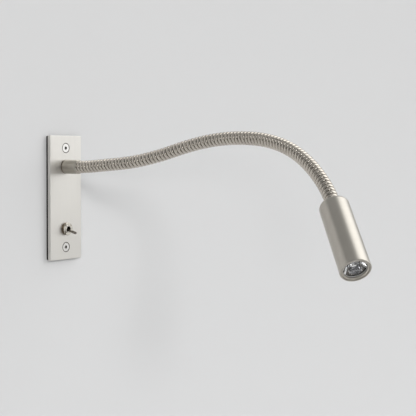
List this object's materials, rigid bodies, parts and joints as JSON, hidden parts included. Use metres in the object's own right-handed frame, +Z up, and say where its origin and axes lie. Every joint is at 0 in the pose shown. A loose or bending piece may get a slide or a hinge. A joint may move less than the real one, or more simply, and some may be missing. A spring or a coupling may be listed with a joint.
{
  "type": "wall reading lamp",
  "caption": "Narrow wall plate with a toggle switch, a ribbed bending neck and a small spotlight head for reading in bed.",
  "frame": {"origin": "middle of the flat back face of the plate's black backing, where it lies on the wall", "axes": "+X right along the wall as seen from the room, +Y into the wall, +Z up; the neck reaches out to -Y"},
  "size_m": [0.0731, 0.3305, 0.1025],
  "materials": {
    "bezel_black": "satin",
    "black_rubber": "matt",
    "black_steel": "blackened",
    "board_green": "solder mask",
    "board_white": "white solder mask",
    "cable_jacket": "smooth jacket",
    "capacitor_sleeve": "shrink sleeve",
    "chrome_bush": "nickel plated",
    "chrome_lever": "dark nickel plated",
    "clear_block": "moulded",
    "driver_plastic": "moulded",
    "emitter_yellow": "phosphor",
    "ferrite_black": "ferrite with copper winding",
    "foam_pad": "foam",
    "grey_pad": "silicone",
    "lead_brown": "insulated lead",
    "lead_green": "insulated lead",
    "lead_red": "insulated lead",
    "lens_clear": "clear",
    "lens_holder_black": "moulded",
    "raw_aluminium": "turned",
    "satin_ferrule": "satin nickel over turned brass",
    "satin_head": "satin nickel colour over turned aluminium",
    "satin_neck": "satin nickel over wound steel",
    "satin_plate": "satin nickel plate",
    "silver_contact": "silver plated",
    "steel_screws": "bright nickel",
    "switch_plastic": "moulded",
    "tinned_brass": "tinned",
    "turned_brass": "turned",
    "winding_tape": "polyester tape over winding",
    "zinc_steel": "zinc plated"
  },
  "bodies": {
    "wall_plate": {"driver_board": "board_green", "driver_capacitor": "capacitor_sleeve", "driver_case": "driver_plastic", "driver_inductor": "ferrite_black", "driver_lid": "driver_plastic", "driver_pad": "foam_pad", "driver_transformer": "winding_tape", "earth_lead": "lead_green", "earth_tag": "tinned_brass", "front_plate": "satin_plate", "neck_cable": "cable_jacket", "neck_ferrule": "satin_ferrule", "neck_lock_nut": "zinc_steel", "neck_lock_washer": "zinc_steel", "neck_section_00": "satin_neck", "plate_screws": "steel_screws", "supply_leads": "lead_brown", "switch_base": "switch_plastic", "switch_bracket": "zinc_steel", "switch_case": "switch_plastic", "switch_leads": "lead_red", "switch_terminals": "silver_contact", "terminal_block": "clear_block", "terminal_screws": "zinc_steel", "toggle_back_nut": "zinc_steel", "toggle_bush": "chrome_bush", "toggle_dress_nut": "chrome_bush", "toggle_washer": "zinc_steel", "wall_gasket": "black_rubber"},
    "neck_01": {"neck_section_01": "satin_neck"},
    "neck_02": {"neck_section_02": "satin_neck"},
    "neck_03": {"neck_section_03": "satin_neck"},
    "neck_04": {"neck_section_04": "satin_neck"},
    "neck_05": {"neck_section_05": "satin_neck"},
    "neck_06": {"neck_section_06": "satin_neck"},
    "neck_07": {"neck_section_07": "satin_neck"},
    "neck_08": {"neck_section_08": "satin_neck"},
    "neck_09": {"neck_section_09": "satin_neck"},
    "lamp_head": {"neck_section_10": "satin_neck", "head_shell": "satin_head", "neck_end_bush": "turned_brass", "neck_grub_screw": "black_steel", "heat_sink": "raw_aluminium", "thermal_pad": "grey_pad", "led_board": "board_white", "board_screws": "zinc_steel", "led_emitter": "emitter_yellow", "lens_holder": "lens_holder_black", "lens": "lens_clear", "lens_seal": "black_rubber", "bezel_ring": "bezel_black", "head_leads": "lead_red"},
    "toggle": {"toggle_lever": "chrome_lever"},
    "rocker": {"switch_rocker": "silver_contact"}
  },
  "joints": [
    {"name": "neck_swing_01", "type": "hinge", "parent": "wall_plate", "child": "neck_01", "pos_m": [0.00055, -0.03401, 0.02561], "axis": [-0.0068, 0.0869, 0.9962], "range_deg": [-20, 20], "deforming": ["neck_cable"]},
    {"name": "neck_nod_02", "type": "hinge", "parent": "neck_01", "child": "neck_02", "pos_m": [0.00336, -0.05871, 0.02779], "axis": [-0.989, -0.1478, 0], "range_deg": [-20, 20], "deforming": ["neck_cable"]},
    {"name": "neck_swing_03", "type": "hinge", "parent": "neck_02", "child": "neck_03", "pos_m": [0.00764, -0.083, 0.03148], "axis": [-0.0415, 0.2037, 0.9781], "range_deg": [-20, 20], "deforming": ["neck_cable"]},
    {"name": "neck_nod_04", "type": "hinge", "parent": "neck_03", "child": "neck_04", "pos_m": [0.01204, -0.10672, 0.03783], "axis": [-0.9863, -0.165, 0], "range_deg": [-20, 20], "deforming": ["neck_cable"]},
    {"name": "neck_swing_05", "type": "hinge", "parent": "neck_04", "child": "neck_05", "pos_m": [0.01508, -0.13068, 0.04408], "axis": [-0.0174, 0.1986, 0.9799], "range_deg": [-20, 20], "deforming": ["neck_cable"]},
    {"name": "neck_nod_06", "type": "hinge", "parent": "neck_05", "child": "neck_06", "pos_m": [0.01615, -0.15539, 0.04723], "axis": [-1, 0, 0], "range_deg": [-20, 20], "deforming": ["neck_cable"]},
    {"name": "neck_swing_07", "type": "hinge", "parent": "neck_06", "child": "neck_07", "pos_m": [0.01484, -0.18028, 0.0469], "axis": [-0.0082, -0.078, 0.9969], "range_deg": [-20, 20], "deforming": ["neck_cable"]},
    {"name": "neck_nod_08", "type": "hinge", "parent": "neck_07", "child": "neck_08", "pos_m": [0.01082, -0.20447, 0.04257], "axis": [-0.9744, 0.225, 0], "range_deg": [-20, 20], "deforming": ["neck_cable"]},
    {"name": "neck_swing_09", "type": "hinge", "parent": "neck_08", "child": "neck_09", "pos_m": [0.00421, -0.22667, 0.03343], "axis": [-0.1617, -0.4325, 0.887], "range_deg": [-20, 20], "deforming": ["neck_cable"]},
    {"name": "neck_nod_10", "type": "hinge", "parent": "neck_09", "child": "lamp_head", "pos_m": [-0.00417, -0.24607, 0.0202], "axis": [-0.8949, 0.4462, 0], "range_deg": [-20, 20], "deforming": ["neck_cable"]},
    {"name": "toggle_flip", "type": "hinge", "parent": "wall_plate", "child": "toggle", "pos_m": [0, -0.0026, -0.0252], "axis": [-1, 0, 0], "range_deg": [0, 25]},
    {"name": "rocker_tilt", "type": "hinge", "parent": "wall_plate", "child": "rocker", "pos_m": [0, 0.0051, -0.0252], "axis": [-1, 0, 0], "range_deg": [-16, 0]}
  ],
  "couplings": [
    {"joint": "rocker_tilt", "follows": "toggle_flip", "ratio": -0.64}
  ]
}
